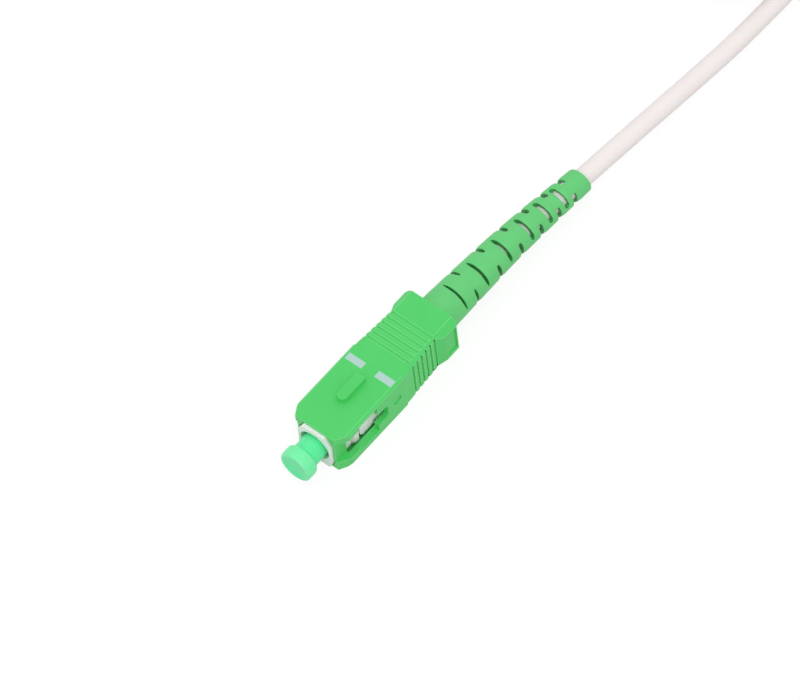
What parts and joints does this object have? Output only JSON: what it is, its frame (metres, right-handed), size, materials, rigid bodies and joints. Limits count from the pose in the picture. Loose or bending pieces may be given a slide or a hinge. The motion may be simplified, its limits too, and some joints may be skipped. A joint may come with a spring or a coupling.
{
  "type": "sc fibre connector",
  "caption": "Push-pull optical fibre plug with a keyed ribbed grip, a dust cap, a slotted bend relief and a pigtail of white cable put away in a tied hank.",
  "frame": {"origin": "on the optical axis at the mating plane, 0.2 mm behind the plug frame's front rim", "axes": "+X back along the optical axis towards the cable, +Z towards the key side"},
  "size_m": [0.1567, 0.0269, 0.0123],
  "materials": {
    "grip_plastic": "moulded, satin",
    "frame_plastic": "moulded, satin",
    "cap_plastic": "soft, slightly translucent",
    "boot_rubber": "soft moulded, satin",
    "jacket": "extruded jacket",
    "strap": "woven hook and loop",
    "zirconia": "ground and polished ceramic",
    "fibre_glass": "bare glass",
    "flange_metal": "turned",
    "buffer_coat": "smooth",
    "spring_wire": "drawn wire",
    "plated_brass": "nickel plated, turned",
    "yarn": "combed yarn",
    "crimp_metal": "bright"
  },
  "bodies": {
    "connector": {"plug_frame": "frame_plastic", "stop_ring": "plated_brass", "spring": "spring_wire", "fibre_buffer": "buffer_coat", "aramid_yarn": "yarn", "crimp_sleeve": "crimp_metal", "boot": "boot_rubber", "cable": "jacket", "cable_hank": "jacket", "hank_tie": "strap"},
    "grip": {"outer_housing": "grip_plastic"},
    "ferrule_assembly": {"ferrule": "zirconia", "fibre": "fibre_glass", "ferrule_flange": "flange_metal"},
    "cap": {"dust_cap": "cap_plastic"}
  },
  "joints": [
    {"name": "grip_slide", "type": "slide", "parent": "connector", "child": "grip", "axis": [1, 0, 0], "range_m": [-0.0002, 0.0011]},
    {"name": "ferrule_float", "type": "slide", "parent": "connector", "child": "ferrule_assembly", "axis": [1, 0, 0], "range_m": [0, 0.0009], "stiffness_N_per_m": 2000, "springref_m": -0.004, "deforming": ["spring", "fibre_buffer"]},
    {"name": "cap_pull", "type": "slide", "parent": "ferrule_assembly", "child": "cap", "axis": [-1, 0, 0], "range_m": [0, 0.012]}
  ]
}
